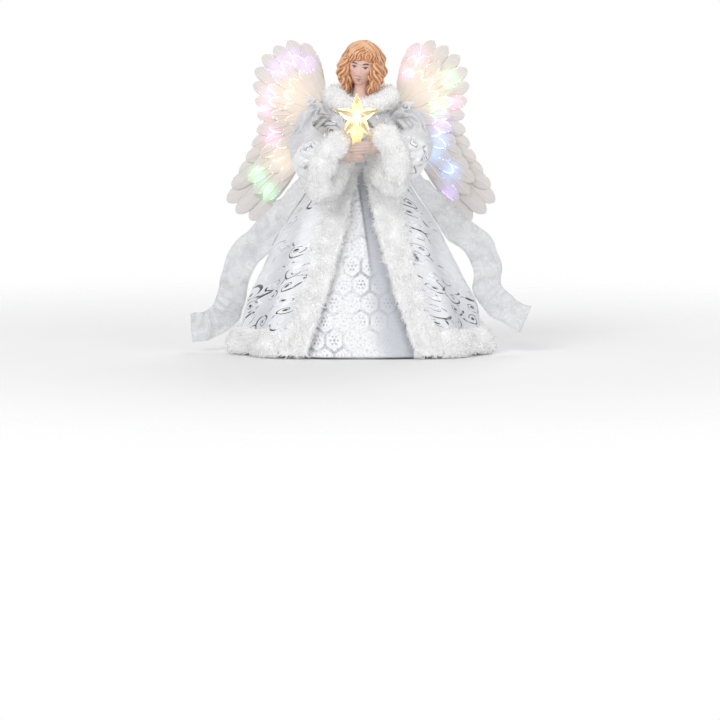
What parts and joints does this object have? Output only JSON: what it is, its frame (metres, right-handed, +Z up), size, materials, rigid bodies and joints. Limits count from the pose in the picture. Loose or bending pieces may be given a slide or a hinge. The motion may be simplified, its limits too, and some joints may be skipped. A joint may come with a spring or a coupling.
{
  "type": "lighted angel tree topper",
  "caption": "Robed angel figure with fibre-lit feather wings that fold back and a lit clear star in its hands, on a stiff cone with a socket for a tree's tip.",
  "frame": {"origin": "middle of the bounding box, on the plane of the cone's rim", "axes": "+Z up, the figure faces -Y, and its left side is +X"},
  "size_m": [0.3326, 0.1693, 0.3051],
  "materials": {
    "white_plastic": "moulded matte",
    "grey_plastic": "moulded matte",
    "black_plastic": "moulded matte",
    "cell_wrap": "plain satin wrap",
    "steel": "plain",
    "green_board": "satin",
    "clear_fibre": "clear",
    "brocade": "silver scroll brocade with foil",
    "lattice_cloth": "silver hexagon lattice cloth",
    "resin_head": "painted resin",
    "resin_skin": "painted resin",
    "white_fur": "white pile fur",
    "amber": "translucent amber",
    "warm_lamp": "warm lit lens",
    "clear_acrylic": "clear faceted",
    "sheer": "sheer organza",
    "pearl_film": "pearly film"
  },
  "bodies": {
    "figure": {"cone_former": "white_plastic", "bulkhead": "grey_plastic", "tree_socket": "grey_plastic", "battery_box": "black_plastic", "battery_cell_1": "cell_wrap", "battery_cell_2": "cell_wrap", "battery_cell_3": "cell_wrap", "top_contact": "steel", "door_pin": "steel", "circuit_board": "green_board", "light_engine": "black_plastic", "power_lead": "black_plastic", "left_fibre_bundle": "clear_fibre", "right_fibre_bundle": "clear_fibre", "torso_core": "white_plastic", "bodice": "brocade", "wing_bracket": "white_plastic", "left_hinge_pin": "steel", "right_hinge_pin": "steel", "head": "resin_head", "fur_collar": "white_fur", "left_arm": "white_plastic", "right_arm": "white_plastic", "left_sleeve": "brocade", "right_sleeve": "brocade", "left_cuff": "white_fur", "right_cuff": "white_fur", "lamp_holder": "amber", "star_lamp": "warm_lamp", "star": "clear_acrylic", "star_lead": "white_plastic", "left_hand": "resin_skin", "right_hand": "resin_skin", "dress": "lattice_cloth", "robe": "brocade", "left_front_trim": "white_fur", "right_front_trim": "white_fur", "hem_trim": "white_fur", "left_ribbon": "sheer", "right_ribbon": "sheer"},
    "left_wing": {"left_wing_frame": "white_plastic", "left_long_feathers": "pearl_film", "left_covert_feathers": "pearl_film", "left_fibre_fan": "clear_fibre"},
    "right_wing": {"right_wing_frame": "white_plastic", "right_long_feathers": "pearl_film", "right_covert_feathers": "pearl_film", "right_fibre_fan": "clear_fibre"},
    "battery_door": {"battery_door": "black_plastic", "door_contact": "steel"},
    "switch_knob": {"switch_knob": "white_plastic"}
  },
  "joints": [
    {"name": "left_wing_fold", "type": "hinge", "parent": "figure", "child": "left_wing", "pos_m": [0.022, 0.036, 0.223], "axis": [0, 0, 1], "range_deg": [-10, 60]},
    {"name": "right_wing_fold", "type": "hinge", "parent": "figure", "child": "right_wing", "pos_m": [-0.022, 0.036, 0.223], "axis": [0, 0, -1], "range_deg": [-10, 60]},
    {"name": "battery_door_swing", "type": "hinge", "parent": "figure", "child": "battery_door", "pos_m": [0, 0.03615, 0.04595], "axis": [1, 0, 0], "range_deg": [0, 95]},
    {"name": "switch_slide", "type": "slide", "parent": "figure", "child": "switch_knob", "axis": [1, 0, 0], "range_m": [0, 0.004]}
  ]
}
